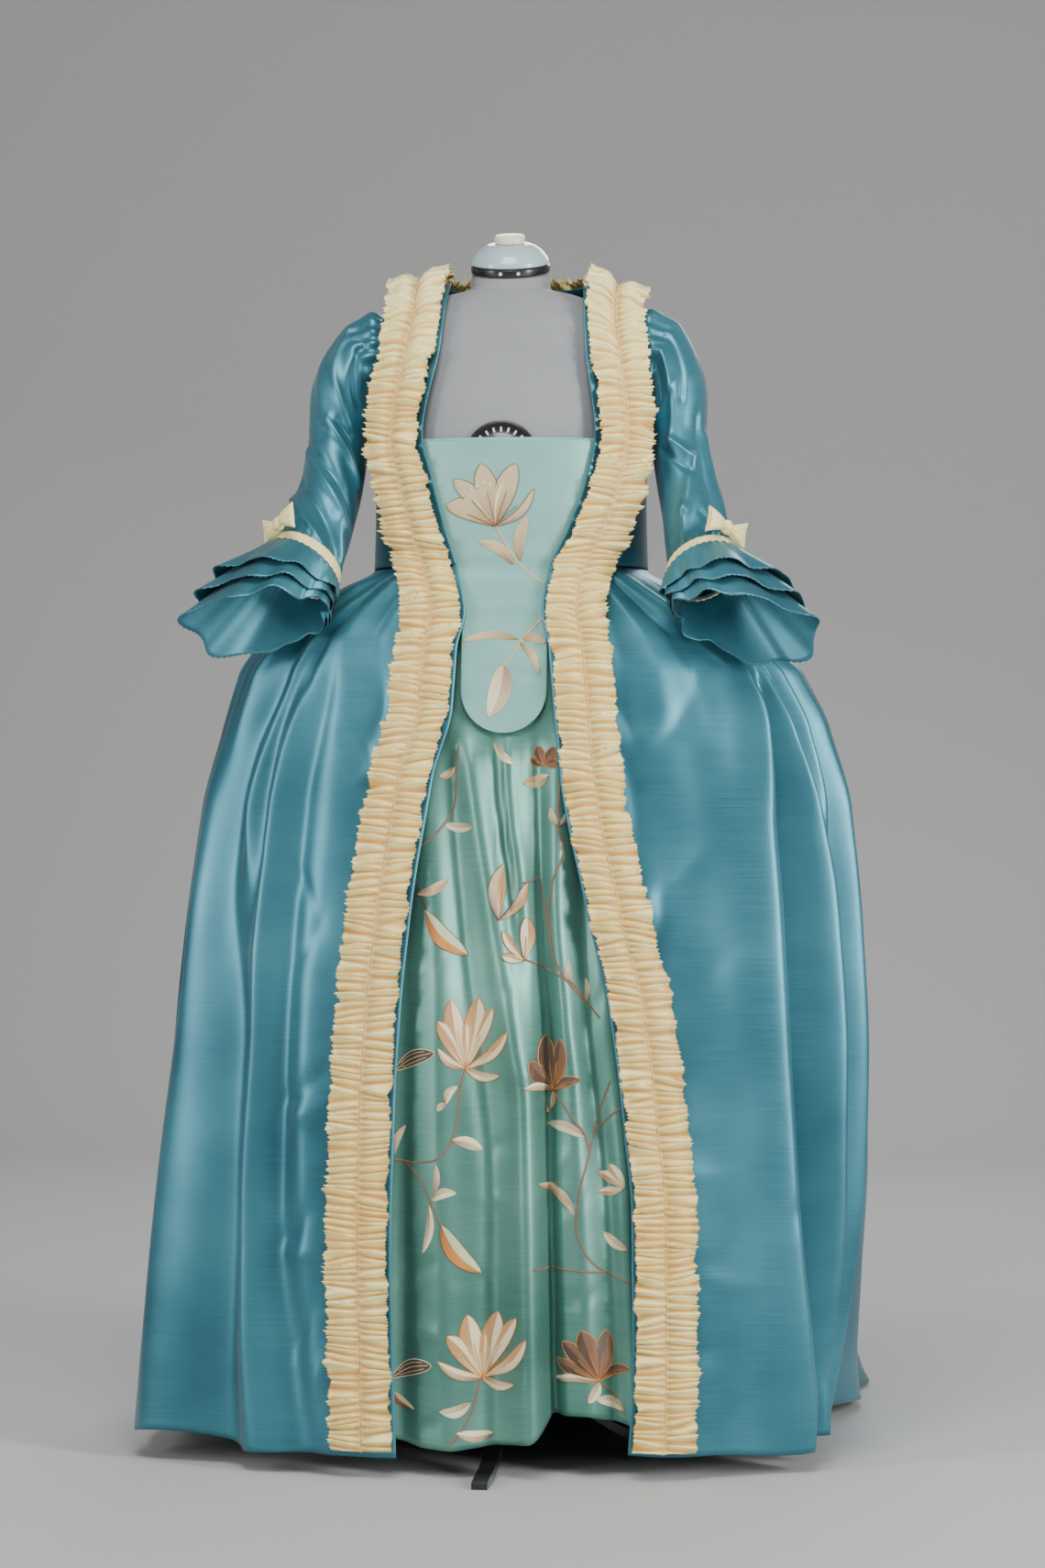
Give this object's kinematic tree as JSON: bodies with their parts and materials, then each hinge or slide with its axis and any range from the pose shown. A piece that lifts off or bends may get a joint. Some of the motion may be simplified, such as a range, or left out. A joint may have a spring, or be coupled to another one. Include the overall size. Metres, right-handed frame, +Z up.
{
  "type": "robe a la francaise on a limbless dress form",
  "caption": "Open gown in teal shot taffeta with gold ruched trim, embroidered stomacher and petticoat, sack back and train, on a dress form with a black stand.",
  "frame": {"origin": "on the floor, under the middle of the model's box", "axes": "+Z up, the wearer's front towards -Y, +X to the right seen from the front"},
  "size_m": [0.9184, 0.9592, 1.5031],
  "materials": {
    "gown_taffeta": "shot silk taffeta, teal with a grey-brown cast, crisp folds",
    "trim_silk": "cream-gold silk, gathered and pinked",
    "stomacher_satin": "pale seafoam satin, embroidered in cream and brown silk",
    "petticoat_taffeta": "green shot taffeta, embroidered in cream, orange and brown silk",
    "form_jersey": "cool grey jersey, tight and matte",
    "cap_gloss": "pale blue-grey, glossy",
    "knob_cream": "cream, satin",
    "stand_black": "black paint, satin"
  },
  "bodies": {
    "root": {"bodice_front_left": "gown_taffeta", "bodice_front_right": "gown_taffeta", "bodice_back": "gown_taffeta", "sack_back": "gown_taffeta", "skirt_front_left": "gown_taffeta", "skirt_front_right": "gown_taffeta", "skirt_side_left": "gown_taffeta", "skirt_side_right": "gown_taffeta", "sleeve_left": "gown_taffeta", "sleeve_right": "gown_taffeta", "flounce_left_1": "gown_taffeta", "flounce_left_2": "gown_taffeta", "flounce_left_3": "gown_taffeta", "flounce_right_1": "gown_taffeta", "flounce_right_2": "gown_taffeta", "flounce_right_3": "gown_taffeta", "trim_left": "trim_silk", "trim_right": "trim_silk", "trim_neck": "trim_silk", "sleeve_band_left": "trim_silk", "sleeve_band_right": "trim_silk", "bow_wing_left_1": "trim_silk", "bow_wing_left_2": "trim_silk", "bow_wing_right_1": "trim_silk", "bow_wing_right_2": "trim_silk", "bow_knot_left": "trim_silk", "bow_knot_right": "trim_silk", "stomacher": "stomacher_satin", "petticoat_front": "petticoat_taffeta", "petticoat_back": "petticoat_taffeta", "form_torso": "form_jersey", "neck_cap": "cap_gloss", "cap_knob": "knob_cream", "neck_band": "stand_black", "chest_dial": "stand_black", "form_pole": "stand_black", "stand_hub": "stand_black", "stand_leg_front": "stand_black", "stand_leg_right": "stand_black", "stand_leg_back": "stand_black", "stand_leg_left": "stand_black"}
  },
  "joints": []
}
